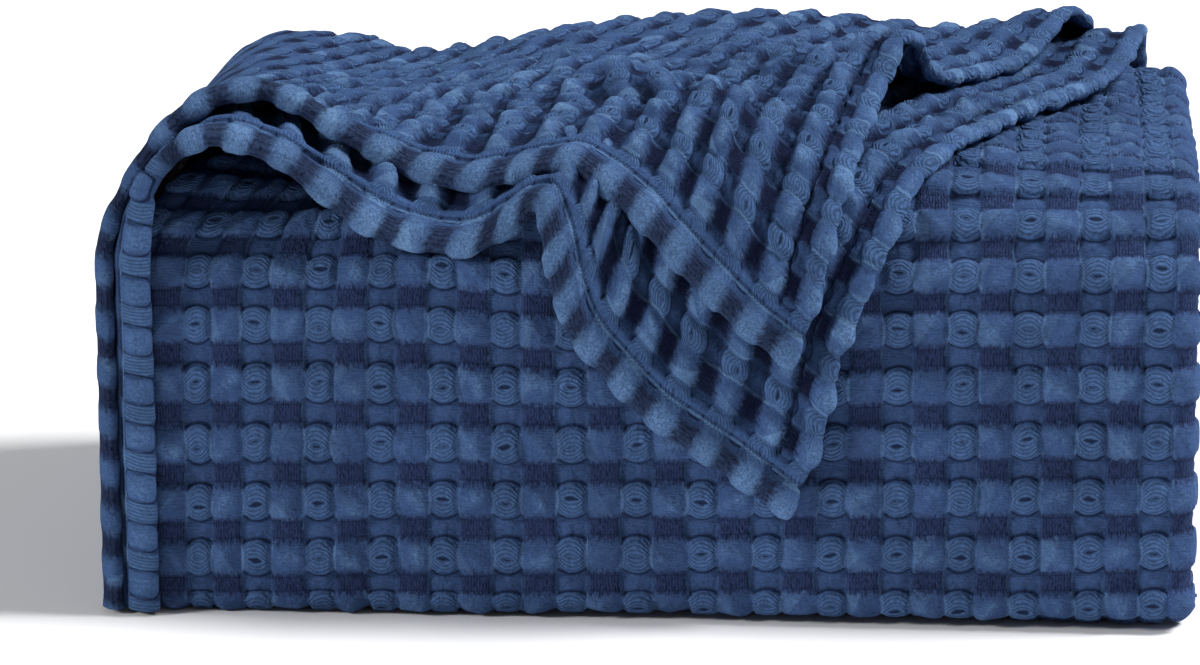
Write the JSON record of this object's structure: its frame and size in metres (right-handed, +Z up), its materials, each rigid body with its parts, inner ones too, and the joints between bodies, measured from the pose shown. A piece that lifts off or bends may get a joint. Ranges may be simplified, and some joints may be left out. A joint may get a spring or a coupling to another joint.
{
  "type": "waffle weave blanket",
  "caption": "Thick waffle weave blanket folded into a tall stack, with two hemmed layers laid over the top and left side and a free corner hanging down the front.",
  "frame": {"origin": "under the middle of the footprint, on the floor", "axes": "+X to the right and +Y to the back as seen from the rounded front face, +Z up"},
  "size_m": [0.4174, 0.3108, 0.2119],
  "materials": {
    "blue_cotton": "matt, deeply textured cotton"
  },
  "bodies": {
    "root": {"blanket": "blue_cotton"}
  },
  "joints": []
}
